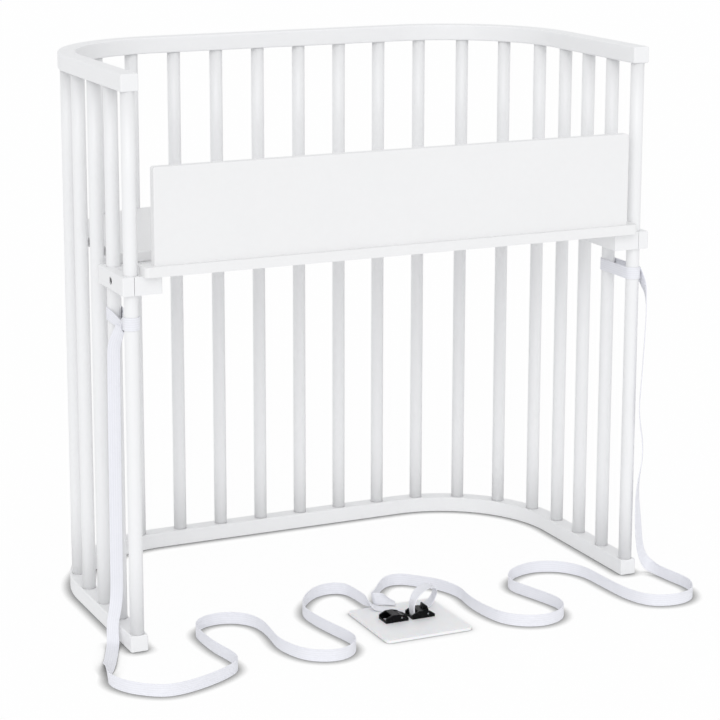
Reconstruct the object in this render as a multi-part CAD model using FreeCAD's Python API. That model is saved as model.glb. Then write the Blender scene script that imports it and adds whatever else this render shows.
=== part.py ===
"""Bedside sleeper crib: round slats between two U-shaped rails, with a bed board on clamps.

Sizes are in millimetres, +Z is up. The origin is on the floor, under the middle of the crib.
The open front faces -Y, and +X is to the right of someone who looks at that front.
"""
import FreeCAD, Part

import math
import os

from FreeCAD import Vector

# ---- rails, posts and slats ----
crib_height = 900.0
rail_outer_width = 908.0
rail_depth = 493.0
rail_width = 28.5
rail_height = 27.0
rail_edge_round = 2.5
bend_radius = 211.0
slat_diameter = 22.0
slats_on_bend = 7
slats_on_back = 6
slat_before_joint = 41.9
slat_after_joint = 36.05
post_setback = 12.0
socket_depth = 14.0
socket_fit = 0.2
rail_dowel_diameter = 8.0
rail_dowel_length = 40.0
rail_dowel_spacing = 13.0
dowel_fit = 0.2
cut_beyond = 1.0

# ---- clamps that hold the bed on the posts and slats ----
bed_underside = 595.0
clamp_height = 29.0
clamp_outer_depth = 18.75
clamp_inner_depth = 44.75
clamp_end_margin = 17.0
clamp_groove_gap = 0.4
clamp_edge_round = 2.0
clamp_joint_gap = 0.8
bolt_diameter = 6.0
bolt_head_diameter = 10.0
bolt_head_height = 6.0
bolt_recess_diameter = 12.0
bolt_recess_depth = 7.5
bolt_beyond_nut = 3.0
bolt_fit = 0.4
hex_socket_size = 5.0
hex_socket_depth = 3.0
nut_diameter = 10.0
nut_length = 18.0
nut_setback = 26.0
nut_bore_roof = 5.0

# ---- bed board, beam, ledge and front panel ----
board_thickness = 16.0
board_slat_gap = 1.25
board_front_setback = 100.0
board_edge_round = 1.5
vent_length = 440.0
vent_width = 18.0
vent_pitch = 54.0
vent_count = 5
beam_depth = 32.0
beam_height = 24.0
beam_ahead_of_board = 11.0
beam_dowel_diameter = 8.0
beam_dowel_length = 40.0
beam_dowel_spacing = 12.0
ledge_thickness = 16.0
ledge_depth = 31.0
ledge_overhang = 22.0
ledge_post_gap = 1.25
ledge_corner_round = 7.0
panel_height = 150.0
panel_thickness = 16.0
panel_front_inset = 7.0
panel_end_inset = 17.0
panel_corner_round = 4.0
panel_edge_round = 1.5

# ---- wood screws ----
screw_diameter = 4.0
screw_head_diameter = 8.0
screw_head_height = 3.0
screw_fit = 0.2
board_screw_length = 35.0
ledge_screw_length = 40.0
panel_screw_length = 45.0
beam_screw_count = 3
panel_screw_count = 4
screw_end_inset = 80.0

# ---- webbing loops and straps ----
webbing_width = 20.0
webbing_thickness = 1.5
loop_gap = 0.3
left_loop_below_clamp = 35.0
right_loop_below_clamp = 32.0
corner_share = 0.45
bend_step = math.radians(15.0)

# ---- anchor plate and buckles ----
plate_width = 150.0
plate_depth = 151.0
plate_thickness = 4.5
plate_back_setback = 24.0
plate_corner_round = 7.0
buckle_length = 40.0
buckle_width = 28.0
buckle_base = 2.0
cheek_thickness = 3.0
end_bar_height = 3.0
end_bar_width = 3.0
cheek_end_height = 7.0
window_length = 8.0
hood_height = 12.5
hood_width = 12.0
hood_thickness = 3.0
mouth_height = 4.5
lever_side_gap = 0.4
lever_tail_height = 2.0
lever_hub_radius = 3.8
lever_pivot_from_window_end = 28.0
lever_pivot_height = 6.4
pin_diameter = 3.0
pin_fit = 0.4
right_lever_open = 100.0
left_buckle_place = (-44.0, -43.0)
right_buckle_place = (3.0, -43.0)

# ---- places that follow from the sizes above ----
clamp_stand_out = clamp_outer_depth - rail_width / 2
overall_depth = ledge_overhang + rail_depth + clamp_stand_out
rail_front = ledge_overhang - overall_depth / 2
centre_half_width = (rail_outer_width - rail_width) / 2
centre_back = rail_front + rail_depth - rail_width / 2
bend_x = centre_half_width - bend_radius
bend_y = centre_back - bend_radius
side_length = bend_y - rail_front
joint_distance = side_length + bend_radius * math.pi / 2
slat_count = 2 * slats_on_bend + slats_on_back
bend_slat_pitch = (joint_distance - post_setback - slat_before_joint) / slats_on_bend
back_slat_pitch = 2 * (bend_x - slat_after_joint) / (slats_on_back - 1)
slat_radius = slat_diameter / 2
clamp_bottom = bed_underside - clamp_height
board_top = bed_underside + board_thickness
board_front = rail_front + board_front_setback
clamp_front = rail_front + post_setback - clamp_end_margin
clamp_back = rail_front + post_setback + bend_slat_pitch + clamp_end_margin
inner_clamp_face = centre_half_width - clamp_inner_depth
beam_front = board_front - beam_ahead_of_board
beam_back = beam_front + beam_depth
ledge_front = rail_front - ledge_overhang
ledge_back = ledge_front + ledge_depth
ledge_half_width = centre_half_width - slat_radius - ledge_post_gap
board_edge_inset = slat_radius + board_slat_gap
plate_middle_y = rail_front + plate_back_setback - plate_depth / 2
left_loop_height = clamp_bottom - left_loop_below_clamp - webbing_width / 2
right_loop_height = clamp_bottom - right_loop_below_clamp - webbing_width / 2

# Each strap is a list of points: how far right, how far behind the rails' front ends, how high,
# and the direction in which the webbing is wide there.
UPRIGHT = (0.0, 0.0, 1.0)

LEFT_STRAP = [
    (-453.3, 42.0, 517.0, (0.0, 1.0, 1.0)),
    (-453.3, 60.0, 493.0, (-0.5, 0.9, 0.6)),
    (-450.0, 69.0, 455.0, (-0.91, 0.41, 0.0)),
    (-450.5, 73.0, 125.0, (-0.91, 0.41, 0.0)),
    (-451.0, 72.0, 78.0, (-0.91, 0.41, 0.0)),
    (-457.0, 64.0, 52.0, (-0.85, 0.53, 0.0)),
    (-466.5, 53.0, 30.0, (-0.75, 0.66, 0.0)),
    (-467.5, 46.0, 7.0, (-0.8, 0.6, 0.0)),
    (-474.0, 31.0, 1.6, (-0.93, 0.37, 0.0)),
    (-485.0, 4.0, 1.5, (-0.93, 0.37, 0.0)),
    (-496.0, -22.0, 1.9, (-0.93, 0.37, 0.0)),
    (-508.0, -50.0, 6.6, (-0.86, 0.3, 0.4)),
    (-519.0, -78.0, 11.0, (-0.3, 0.1, 0.95)),
    (-530.0, -110.0, 10.6, UPRIGHT),
    (-516.0, -148.0, 10.2, UPRIGHT),
    (-488.0, -176.0, 10.0, UPRIGHT),
    (-461.0, -190.0, 10.0, UPRIGHT),
    (-430.0, -187.0, 10.0, UPRIGHT),
    (-392.0, -175.0, 10.0, UPRIGHT),
    (-350.0, -154.0, 10.0, UPRIGHT),
    (-327.0, -132.0, 10.0, UPRIGHT),
    (-326.0, -100.0, 10.0, UPRIGHT),
    (-336.0, -56.0, 10.0, UPRIGHT),
    (-339.0, -6.0, 10.0, UPRIGHT),
    (-337.0, 34.0, 10.0, UPRIGHT),
    (-316.0, 58.0, 10.0, UPRIGHT),
    (-288.0, 65.0, 10.0, UPRIGHT),
    (-260.0, 58.0, 10.0, UPRIGHT),
    (-239.0, 36.0, 10.0, UPRIGHT),
    (-232.0, 4.0, 10.0, UPRIGHT),
    (-235.0, -36.0, 10.0, UPRIGHT),
    (-240.0, -70.0, 10.0, UPRIGHT),
    (-235.0, -104.0, 10.0, UPRIGHT),
    (-221.0, -138.0, 10.0, UPRIGHT),
    (-196.0, -157.0, 10.0, UPRIGHT),
    (-169.0, -162.0, 10.0, UPRIGHT),
    (-143.0, -149.0, 10.0, UPRIGHT),
    (-127.0, -124.0, 10.0, UPRIGHT),
    (-128.0, -94.0, 10.0, UPRIGHT),
    (-139.0, -48.0, 10.0, UPRIGHT),
    (-147.0, 0.0, 10.0, UPRIGHT),
    (-148.0, 42.0, 10.0, UPRIGHT),
    (-125.0, 85.0, 10.0, UPRIGHT),
    (-92.0, 116.0, 10.0, UPRIGHT),
    (-60.0, 122.0, 10.0, UPRIGHT),
    (-41.0, 109.0, 10.0, UPRIGHT),
    (-37.0, 84.0, 10.2, UPRIGHT),
    (-36.0, 58.0, 10.6, UPRIGHT),
    (-36.0, 38.0, 12.0, (-0.1, 0.0, 1.0)),
    (-34.0, 22.0, 12.6, (-0.7, 0.0, 0.7)),
    (-29.0, 9.0, 6.9, (-0.95, -0.5, 0.0)),
    (-19.0, -1.0, 5.8, (-0.8, -0.7, 0.0)),
    (-9.0, -9.0, 5.6, (-0.85, -0.55, 0.0)),
    (-2.5, -18.0, 5.5, (-1.0, 0.0, 0.0)),
    (-2.0, -27.6, 5.5, (-1.0, 0.0, 0.0)),
]

RIGHT_STRAP = [
    (454.6, 20.0, 526.0, (0.0, 1.0, -1.0)),
    (458.0, 6.0, 508.0, (0.0, 1.0, -1.0)),
    (462.0, 0.0, 478.0, (0.53, 0.85, 0.0)),
    (461.0, 0.0, 425.0, (0.53, 0.85, 0.0)),
    (456.0, 0.0, 335.0, (0.53, 0.85, 0.0)),
    (452.0, 0.0, 282.0, (0.53, 0.85, 0.0)),
    (465.5, 0.0, 214.0, (0.53, 0.85, 0.0)),
    (452.5, 0.0, 155.0, (0.65, 0.76, 0.0)),
    (456.5, 0.0, 90.0, (0.9, 0.44, 0.0)),
    (463.0, 2.0, 40.0, (0.9, 0.44, 0.0)),
    (474.0, -2.0, 16.0, (0.7, 0.2, 0.7)),
    (482.0, -20.0, 10.0, UPRIGHT),
    (485.0, -52.0, 10.0, UPRIGHT),
    (494.0, -104.0, 10.0, UPRIGHT),
    (482.0, -135.0, 10.0, UPRIGHT),
    (468.0, -152.0, 10.0, UPRIGHT),
    (445.0, -162.0, 10.0, UPRIGHT),
    (416.0, -161.0, 10.0, UPRIGHT),
    (389.0, -147.0, 10.0, UPRIGHT),
    (374.0, -114.0, 10.0, UPRIGHT),
    (369.0, -72.0, 10.0, UPRIGHT),
    (367.0, -26.0, 10.0, UPRIGHT),
    (365.0, 18.0, 10.0, UPRIGHT),
    (347.0, 53.0, 10.0, UPRIGHT),
    (321.0, 71.0, 10.0, UPRIGHT),
    (289.0, 77.0, 10.0, UPRIGHT),
    (252.0, 64.0, 10.0, UPRIGHT),
    (228.0, 40.0, 10.0, UPRIGHT),
    (217.0, 10.0, 10.0, UPRIGHT),
    (227.0, -22.0, 10.0, UPRIGHT),
    (240.0, -64.0, 10.0, UPRIGHT),
    (249.0, -103.0, 10.0, UPRIGHT),
    (238.0, -135.0, 10.0, UPRIGHT),
    (215.0, -153.0, 10.0, UPRIGHT),
    (185.0, -159.0, 10.0, UPRIGHT),
    (154.0, -147.0, 10.0, UPRIGHT),
    (131.0, -122.0, 10.0, UPRIGHT),
    (122.0, -84.0, 10.0, UPRIGHT),
    (119.0, -50.0, 10.0, UPRIGHT),
    (120.0, -20.0, 10.0, UPRIGHT),
    (125.0, 15.0, 10.0, UPRIGHT),
    (117.0, 49.0, 10.0, UPRIGHT),
    (104.0, 73.0, 10.0, UPRIGHT),
    (82.0, 97.0, 10.0, UPRIGHT),
    (68.0, 112.0, 10.0, UPRIGHT),
    (52.0, 117.0, 10.0, UPRIGHT),
    (36.0, 113.0, 10.0, UPRIGHT),
    (20.0, 99.0, 10.0, UPRIGHT),
    (1.0, 74.0, 10.2, UPRIGHT),
    (-12.0, 54.0, 11.0, (-0.1, 0.0, 1.0)),
    (-27.0, 36.0, 13.6, (-0.2, 0.1, 1.0)),
    (-13.0, 29.0, 14.8, (0.1, 0.5, 0.85)),
    (0.0, 24.0, 9.0, (0.3, 0.9, 0.15)),
    (9.0, 20.0, 6.0, (0.35, 0.93, 0.0)),
]

BUCKLE_LOOP = [
    (10.0, -43.0, 5.5, (0.0, 1.0, 0.0)),
    (9.0, -43.0, 20.0, (-0.1, 1.0, 0.0)),
    (15.0, -41.0, 34.0, (-0.25, 0.97, 0.0)),
    (29.0, -32.0, 42.0, (-0.35, 0.9, 0.2)),
    (48.0, -18.0, 43.0, (-0.45, 0.8, 0.4)),
    (62.0, -7.0, 36.0, (-0.45, 0.8, 0.4)),
    (67.0, 1.0, 23.0, (-0.3, 0.95, 0.1)),
    (57.0, 4.0, 11.0, (-0.4, 0.9, 0.1)),
    (48.0, 0.0, 5.9, (-0.6, 0.8, 0.0)),
    (40.0, -7.0, 5.6, (-0.65, 0.75, 0.0)),
]


# ---- helpers ----
def box(low_x, high_x, low_y, high_y, low_z, high_z):
    size = (high_x - low_x, high_y - low_y, high_z - low_z)
    return Part.makeBox(size[0], size[1], size[2], Vector(low_x, low_y, low_z))


def rod(diameter, start, end):
    """A round bar from one point to another."""
    axis = end - start
    return Part.makeCylinder(diameter / 2, axis.Length, start, axis)


def prism(points, height):
    """An upright prism over an outline of straight lines."""
    outline = Part.makePolygon(points + [points[0]])
    return Part.Face(outline).extrude(Vector(0, 0, height))


def round_edges(solid, radius, choose):
    """Fillet the edges for which choose(edge) is true."""
    edges = [edge for edge in solid.Edges if choose(edge)]
    return solid.makeFillet(radius, edges)


def on_plane(edge, axis, place):
    """Whether an edge lies in the plane where its x, y or z (axis 0, 1 or 2) is place."""
    return all(abs(vertex.Point[axis] - place) < 0.01 for vertex in edge.Vertexes)


def is_upright(edge):
    ends = [vertex.Point for vertex in edge.Vertexes]
    return len(ends) == 2 and abs(ends[0].x - ends[1].x) + abs(ends[0].y - ends[1].y) < 0.01


def export(name, solids):
    """Write one node; several solids are kept apart in a compound."""
    shape = solids[0] if len(solids) == 1 else Part.makeCompound(solids)
    if not shape.isValid():
        raise ValueError(name + " is not a valid solid")
    shape.exportStep("parts/" + name + ".step")


# ---- the line that the rails and slats follow ----
def on_centreline(distance, side):
    """Point on the left (-1) or right (+1) bend's centreline, measured from its front end."""
    turn = (distance - side_length) / bend_radius
    if turn <= 0:
        return Vector(side * centre_half_width, rail_front + distance, 0)
    across = bend_x + bend_radius * math.cos(turn)
    return Vector(side * across, bend_y + bend_radius * math.sin(turn), 0)


def slat_place(number):
    """Slat 0 is the left post, slat slat_count + 1 the right post."""
    from_right = slat_count + 1 - number
    if number <= slats_on_bend:
        return on_centreline(post_setback + number * bend_slat_pitch, -1)
    if from_right <= slats_on_bend:
        return on_centreline(post_setback + from_right * bend_slat_pitch, 1)
    along_back = (number - slats_on_bend - 1) * back_slat_pitch
    return Vector(slat_after_joint - bend_x + along_back, centre_back, 0)


def plan_outline(side_x, front, back, corner_radius):
    """Closed U-shaped outline: straight front, straight sides, round back corners."""
    turn_x = side_x - corner_radius
    turn_y = back - corner_radius
    diagonal = corner_radius * math.sqrt(0.5)
    left_arc = Part.Arc(
        Vector(-side_x, turn_y, 0),
        Vector(-turn_x - diagonal, turn_y + diagonal, 0),
        Vector(-turn_x, back, 0),
    )
    right_arc = Part.Arc(
        Vector(turn_x, back, 0),
        Vector(turn_x + diagonal, turn_y + diagonal, 0),
        Vector(side_x, turn_y, 0),
    )
    edges = [
        Part.LineSegment(Vector(-side_x, front, 0), Vector(-side_x, turn_y, 0)),
        left_arc,
        Part.LineSegment(Vector(-turn_x, back, 0), Vector(turn_x, back, 0)),
        right_arc,
        Part.LineSegment(Vector(side_x, turn_y, 0), Vector(side_x, front, 0)),
        Part.LineSegment(Vector(side_x, front, 0), Vector(-side_x, front, 0)),
    ]
    return Part.Face(Part.Wire([edge.toShape() for edge in edges]))


# ---- rails ----
def slat_bars(low_z, high_z, diameter):
    """A bar at every post and slat."""
    bars = []
    for number in range(slat_count + 2):
        place = slat_place(number)
        start = Vector(place.x, place.y, low_z)
        bars.append(rod(diameter, start, Vector(place.x, place.y, high_z)))
    return bars


def rail_dowels(low_z, fit):
    """Two dowels across each joint line of one rail."""
    dowels = []
    middle_z = low_z + rail_height / 2
    for side in (-1, 1):
        for offset in (-rail_dowel_spacing / 2, rail_dowel_spacing / 2):
            start = Vector(side * bend_x - rail_dowel_length / 2, centre_back + offset, middle_z)
            end = start + Vector(rail_dowel_length, 0, 0)
            dowels.append(rod(rail_dowel_diameter + fit, start, end))
    return dowels


def rail_pieces(low_z, socket_low, socket_high):
    """The left bend, back piece and right bend of one rail, with sockets for the slats."""
    half = rail_width / 2
    outer = plan_outline(centre_half_width + half, rail_front, centre_back + half,
                         bend_radius + half)
    inner = plan_outline(centre_half_width - half, rail_front - rail_width, centre_back - half,
                         bend_radius - half)
    rail = outer.cut(inner).extrude(Vector(0, 0, rail_height))
    rail.translate(Vector(0, 0, low_z))
    reach = rail_outer_width
    pieces = []
    for low_x, high_x in ((-reach, -bend_x), (-bend_x, bend_x), (bend_x, reach)):
        segment = box(low_x, high_x, -rail_depth, rail_depth, low_z, low_z + rail_height)
        piece = rail.common(segment).Solids[0]
        seams = [place for place in (low_x, high_x) if abs(place) < reach]
        piece = round_edges(piece, rail_edge_round,
                            lambda edge: not any(on_plane(edge, 0, seam) for seam in seams)
                            and not (is_upright(edge) and len(seams) == 2))
        piece = piece.cut(Part.makeCompound(
            slat_bars(socket_low, socket_high, slat_diameter + socket_fit)
            + rail_dowels(low_z, dowel_fit)))
        pieces.append(piece.Solids[0])
    return pieces


def make_rails():
    top_z = crib_height - rail_height
    top = rail_pieces(top_z, top_z - socket_depth, top_z + socket_depth)
    bottom = rail_pieces(0.0, rail_height - socket_depth, rail_height + socket_depth)
    for place, pieces in (("top", top), ("bottom", bottom)):
        export(place + "_rail_left_bend", [pieces[0]])
        export(place + "_rail_back", [pieces[1]])
        export(place + "_rail_right_bend", [pieces[2]])
    export("rail_joint_dowels", rail_dowels(top_z, 0.0) + rail_dowels(0.0, 0.0))


def make_slats():
    low_z = rail_height - socket_depth
    high_z = crib_height - low_z
    bars = slat_bars(low_z, high_z, slat_diameter)
    export("front_post_left", [bars[0]])
    export("front_post_right", [bars[-1]])
    for number in range(1, slat_count + 1):
        export("slat_%02d" % number, [bars[number]])


# ---- screws ----
def wood_screw(length, fit):
    """Countersunk screw: head flush at z = 0, pointing down. A fit above 0 makes its bore."""
    head = (screw_head_diameter + fit) / 2
    shank = (screw_diameter + fit) / 2
    tip = length + fit
    neck = screw_head_height
    profile = Part.makePolygon([
        Vector(0, 0, 0), Vector(head, 0, 0), Vector(shank, 0, -neck),
        Vector(shank, 0, -tip + screw_diameter), Vector(0, 0, -tip), Vector(0, 0, 0)])
    return Part.Face(profile).revolve(Vector(0, 0, 0), Vector(0, 0, 1), 360)


def screws_down(places, length, fit):
    screws = []
    for place in places:
        screw = wood_screw(length, fit)
        screw.translate(place)
        screws.append(screw)
    return screws


def screws_up(places, length, fit):
    screws = []
    for place in places:
        screw = wood_screw(length, fit)
        screw.rotate(Vector(0, 0, 0), Vector(1, 0, 0), 180)
        screw.translate(place)
        screws.append(screw)
    return screws


# ---- clamps ----
# A clamp is made lying along Y with its joint line at x = 0 and +x away from the crib,
# and is then turned and moved to its pair of bars.
def clamp_places():
    """Row, side, turn about Z in degrees, middle of the joint line, and pitch of the grooves."""
    rear = slats_on_bend + 1
    pairs = [
        ("front", "left", 180.0, 0, 1),
        ("front", "right", 0.0, slat_count, slat_count + 1),
        ("rear", "left", 90.0, rear, rear + 1),
        ("rear", "right", 90.0, slat_count - rear, slat_count + 1 - rear),
    ]
    places = []
    for row, side, turn, first, second in pairs:
        middle = (slat_place(first) + slat_place(second)) * 0.5
        middle.z = clamp_bottom
        pitch = bend_slat_pitch if row == "front" else back_slat_pitch
        places.append((row, side, turn, middle, pitch))
    return places


def at_clamp(solid, turn, middle):
    placed = solid.copy()
    placed.rotate(Vector(0, 0, 0), Vector(0, 0, 1), turn)
    placed.translate(middle)
    return placed


def clamp_grooves(pitch):
    grooves = []
    groove_diameter = slat_diameter + 2 * clamp_groove_gap
    for side in (-1, 1):
        start = Vector(0, side * pitch / 2, -cut_beyond)
        end = Vector(0, side * pitch / 2, clamp_height + cut_beyond)
        grooves.append(rod(groove_diameter, start, end))
    return grooves


def clamp_bolt(fit):
    """Socket-head bolt; a fit above 0 gives its clearance hole without the hex."""
    middle_z = clamp_height / 2
    seat = clamp_outer_depth - bolt_recess_depth
    tip = -nut_setback - nut_diameter / 2 - bolt_beyond_nut - fit
    shank = rod(bolt_diameter + fit, Vector(tip, 0, middle_z), Vector(seat, 0, middle_z))
    if fit > 0:
        recess = rod(bolt_recess_diameter, Vector(seat, 0, middle_z),
                     Vector(clamp_outer_depth + cut_beyond, 0, middle_z))
        return shank.fuse(recess)
    head_end = seat + bolt_head_height
    head = rod(bolt_head_diameter, Vector(seat, 0, middle_z), Vector(head_end, 0, middle_z))
    corner = hex_socket_size / 2 / math.cos(math.pi / 6)
    corners = [Vector(corner * math.cos(step * math.pi / 3),
                      corner * math.sin(step * math.pi / 3), 0) for step in range(6)]
    hexagon = prism(corners, hex_socket_depth)
    hexagon.rotate(Vector(0, 0, 0), Vector(0, 1, 0), 90)
    hexagon.translate(Vector(head_end - hex_socket_depth, 0, middle_z))
    return shank.fuse(head).removeSplitter().cut(hexagon)


def clamp_nut(fit):
    """Barrel nut across the bolt; a fit above 0 gives its bore, open at the clamp's underside."""
    low_z = (clamp_height - nut_length) / 2
    if fit > 0:
        return rod(nut_diameter + fit, Vector(-nut_setback, 0, -cut_beyond),
                   Vector(-nut_setback, 0, clamp_height - nut_bore_roof))
    barrel = rod(nut_diameter, Vector(-nut_setback, 0, low_z),
                 Vector(-nut_setback, 0, low_z + nut_length))
    middle_z = clamp_height / 2
    thread = rod(bolt_diameter + dowel_fit, Vector(-nut_setback - nut_diameter, 0, middle_z),
                 Vector(-nut_setback + nut_diameter, 0, middle_z))
    return barrel.cut(thread)


def clamp_block(inward, pitch):
    """The inner (inward) or outer block, before its screw and dowel bores."""
    half_length = pitch / 2 + clamp_end_margin
    if inward:
        block = box(-clamp_inner_depth, -clamp_joint_gap / 2, -half_length, half_length,
                    0, clamp_height)
        rounded_face = -clamp_inner_depth
    else:
        block = box(clamp_joint_gap / 2, clamp_outer_depth, -half_length, half_length,
                    0, clamp_height)
        rounded_face = clamp_outer_depth
    block = round_edges(block, clamp_edge_round, lambda edge: on_plane(edge, 0, rounded_face))
    return block.cut(Part.makeCompound(clamp_grooves(pitch) + [clamp_bolt(bolt_fit)]))


def make_clamps(screw_bores):
    nut_bore = clamp_nut(bolt_fit)
    bolts = []
    nuts = []
    for row, side, turn, middle, pitch in clamp_places():
        name = row + "_clamp_"
        outer = clamp_block(False, pitch)
        inner = clamp_block(True, pitch).cut(nut_bore)
        placed_inner = at_clamp(inner, turn, middle).cut(Part.makeCompound(screw_bores))
        export(name + "outer_" + side, [at_clamp(outer, turn, middle).Solids[0]])
        export(name + "inner_" + side, [placed_inner.Solids[0]])
        bolts.append(at_clamp(clamp_bolt(0.0), turn, middle))
        nuts.append(at_clamp(clamp_nut(0.0), turn, middle))
    export("clamp_bolts", bolts)
    export("clamp_nuts", nuts)


# ---- bed board, beam, ledge and panel ----
def beam_dowels(fit):
    """Dowels between each end of the beam and the front clamp beside it."""
    dowels = []
    middle_y = (beam_front + clamp_back) / 2
    middle_z = bed_underside - beam_height / 2
    for side in (-1, 1):
        for offset in (-beam_dowel_spacing / 2, beam_dowel_spacing / 2):
            start = Vector(side * inner_clamp_face - beam_dowel_length / 2, middle_y,
                           middle_z + offset)
            end = start + Vector(beam_dowel_length, 0, 0)
            dowels.append(rod(beam_dowel_diameter + fit, start, end))
    return dowels


def spread(count, half_span):
    """Evenly spaced places from -half_span to +half_span."""
    return [half_span * (2 * step / (count - 1) - 1) for step in range(count)]


def board_screw_places():
    """Into the beam along the front, and into the two rear clamps."""
    places = []
    beam_screw_y = (board_front + beam_back) / 2
    clamp_screw_y = centre_back - (clamp_inner_depth + board_edge_inset) / 2
    for x in spread(beam_screw_count, inner_clamp_face - screw_end_inset):
        places.append(Vector(x, beam_screw_y, board_top))
    for row, side, turn, middle, pitch in clamp_places():
        if row == "rear":
            for offset in (-pitch / 2, pitch / 2):
                places.append(Vector(middle.x + offset, clamp_screw_y, board_top))
    return places


def ledge_screw_places():
    """Two screws on each side, where the ledge lies on the inner clamp block."""
    screw_y = (clamp_front + ledge_back) / 2
    places = []
    for side in (-1, 1):
        for inset in (screw_head_diameter, 3 * screw_head_diameter):
            places.append(Vector(side * (inner_clamp_face + inset), screw_y, clamp_bottom))
    return places


def panel_screw_places():
    screw_y = ledge_front + panel_front_inset + panel_thickness / 2
    half_span = ledge_half_width - panel_end_inset - screw_end_inset
    return [Vector(x, screw_y, bed_underside) for x in spread(panel_screw_count, half_span)]


def vent_cutter(middle_y):
    """Long slot with round ends, through the bed board."""
    low_z = bed_underside - cut_beyond
    high_z = board_top + cut_beyond
    end_x = (vent_length - vent_width) / 2
    cutter = box(-end_x, end_x, middle_y - vent_width / 2, middle_y + vent_width / 2,
                 low_z, high_z)
    for x in (-end_x, end_x):
        cutter = cutter.fuse(rod(vent_width, Vector(x, middle_y, low_z),
                                 Vector(x, middle_y, high_z)))
    return cutter


def make_bed():
    inset = board_edge_inset
    outline = plan_outline(centre_half_width - inset, board_front, centre_back - inset,
                           bend_radius - inset)
    board = outline.extrude(Vector(0, 0, board_thickness))
    board.translate(Vector(0, 0, bed_underside))
    board = round_edges(board, board_edge_round, lambda edge: not is_upright(edge))
    vents = []
    vent_middle_y = (board_front + centre_back) / 2
    for offset in spread(vent_count, vent_pitch * (vent_count - 1) / 2):
        vents.append(vent_cutter(vent_middle_y + offset))
    board_bores = screws_down(board_screw_places(), board_screw_length, screw_fit)
    board = board.cut(Part.makeCompound(vents + board_bores))
    export("bed_board", [board.Solids[0]])
    export("board_screws", screws_down(board_screw_places(), board_screw_length, 0.0))

    beam = box(-inner_clamp_face, inner_clamp_face, beam_front, beam_back,
               bed_underside - beam_height, bed_underside)
    beam = beam.cut(Part.makeCompound(board_bores + beam_dowels(dowel_fit)))
    export("cross_beam", [beam.Solids[0]])
    export("beam_dowels", beam_dowels(0.0))
    return board_bores


def make_front():
    ledge_top = bed_underside + ledge_thickness
    ledge = box(-ledge_half_width, ledge_half_width, ledge_front, ledge_back, bed_underside,
                ledge_top)
    ledge = round_edges(ledge, ledge_corner_round,
                        lambda edge: is_upright(edge) and on_plane(edge, 1, ledge_front))
    ledge_bores = screws_up(ledge_screw_places(), ledge_screw_length, screw_fit)
    panel_bores = screws_up(panel_screw_places(), panel_screw_length, screw_fit)
    ledge = ledge.cut(Part.makeCompound(ledge_bores + panel_bores))
    export("ledge_board", [ledge.Solids[0]])
    export("ledge_screws", screws_up(ledge_screw_places(), ledge_screw_length, 0.0))

    panel_half = ledge_half_width - panel_end_inset
    panel_front = ledge_front + panel_front_inset
    panel_back = panel_front + panel_thickness
    panel_top = ledge_top + panel_height
    panel = box(-panel_half, panel_half, panel_front, panel_back, ledge_top, panel_top)
    panel = round_edges(panel, panel_corner_round,
                        lambda edge: abs(edge.Length - panel_thickness) < 0.01
                        and on_plane(edge, 2, panel_top))
    panel = round_edges(panel, panel_edge_round,
                        lambda edge: not on_plane(edge, 2, ledge_top)
                        and (on_plane(edge, 1, panel_front) or on_plane(edge, 1, panel_back)))
    panel = panel.cut(Part.makeCompound(panel_bores))
    export("front_panel", [panel.Solids[0]])
    export("panel_screws", screws_up(panel_screw_places(), panel_screw_length, 0.0))
    return ledge_bores


# ---- webbing ----
def stadium(first, second, radius, low_z):
    """Upright solid round two points: two half rounds joined by straight sides."""
    along = (second - first).normalize()
    side = Vector(-along.y, along.x, 0) * radius
    tip = along * radius
    edges = [
        Part.LineSegment(first + side, second + side),
        Part.Arc(second + side, second + tip, second - side),
        Part.LineSegment(second - side, first - side),
        Part.Arc(first - side, first - tip, first + side),
    ]
    outline = Part.Wire([edge.toShape() for edge in edges])
    solid = Part.Face(outline).extrude(Vector(0, 0, webbing_width))
    solid.translate(Vector(0, 0, low_z))
    return solid


def webbing_loop(first_slat, second_slat, middle_z):
    """A band of webbing round a post and the slat behind it."""
    inner_radius = slat_radius + loop_gap
    low_z = middle_z - webbing_width / 2
    first = slat_place(first_slat)
    second = slat_place(second_slat)
    outside = stadium(first, second, inner_radius + webbing_thickness, low_z)
    return outside.cut(stadium(first, second, inner_radius, low_z))


def rounded_route(points):
    """Stations along a route whose corners are tangent arcs, and the arcs' radii.

    A station is a place, a heading, and how far along the list of points it is.
    """
    runs = [after - before for before, after in zip(points, points[1:])]
    headings = [Vector(run).normalize() for run in runs]
    stations = [(points[0], headings[0], 0.0)]
    radii = []
    for number in range(1, len(points) - 1):
        heading_in = headings[number - 1]
        heading_out = headings[number]
        turn = heading_in.getAngle(heading_out)
        reach = corner_share * min(runs[number - 1].Length, runs[number].Length)
        radius = reach / math.tan(turn / 2)
        radii.append(radius)
        inward = (heading_out - heading_in * math.cos(turn)).normalize()
        centre = points[number] - heading_in * reach + inward * radius
        steps = max(1, math.ceil(turn / bend_step))
        for step in range(steps + 1):
            angle = turn * step / steps
            outward = heading_in * math.sin(angle) - inward * math.cos(angle)
            heading = heading_in * math.cos(angle) + inward * math.sin(angle)
            along = number + corner_share * (2 * step / steps - 1)
            stations.append((centre + outward * radius, heading, along))
    stations.append((points[-1], headings[-1], len(points) - 1.0))
    return stations, radii


def wide_at(wides, along):
    """Direction of the webbing's width between two of the route's points."""
    before = min(int(along), len(wides) - 2)
    share = along - before
    return (wides[before] * (1 - share) + wides[before + 1] * share).normalize()


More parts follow.
